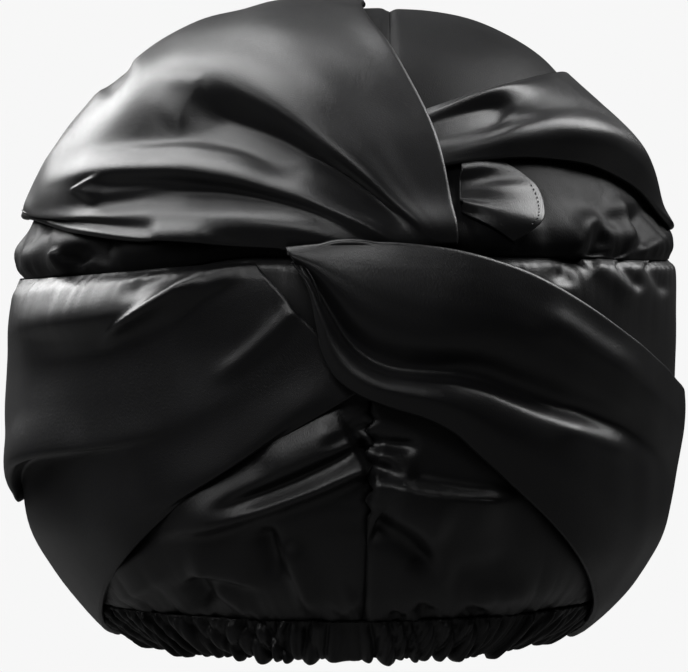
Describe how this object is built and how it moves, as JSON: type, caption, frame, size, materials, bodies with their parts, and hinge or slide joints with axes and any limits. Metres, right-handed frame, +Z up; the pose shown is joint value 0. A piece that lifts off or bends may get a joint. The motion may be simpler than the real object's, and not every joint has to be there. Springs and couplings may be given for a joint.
{
  "type": "hair treatment cap",
  "caption": "Black satin turban-style hair cap with a front twist of crossed wraps, a gathered crown and an elastic casing round the head opening.",
  "frame": {"origin": "centre of the head opening, in the plane of its lower edge", "axes": "+Z up to the crown, -Y towards the front twist, +X towards the wearer's left side (right side of a front view)"},
  "size_m": [0.2649, 0.2908, 0.2499],
  "materials": {
    "crown_satin": "black satin, soft sheen",
    "wrap_satin": "black satin, smooth and lustrous",
    "panel_satin": "black satin, soft sheen",
    "casing_satin": "black satin, tightly gathered"
  },
  "bodies": {
    "root": {"crown_left": "crown_satin", "crown_right": "crown_satin", "front_panel_left": "panel_satin", "front_panel_right": "panel_satin", "back_panel": "panel_satin", "elastic_casing": "casing_satin", "upper_wrap_left": "wrap_satin", "upper_wrap_right": "wrap_satin", "lower_wrap_left": "wrap_satin", "lower_wrap_right": "wrap_satin", "knot_tuck": "crown_satin"}
  },
  "joints": []
}
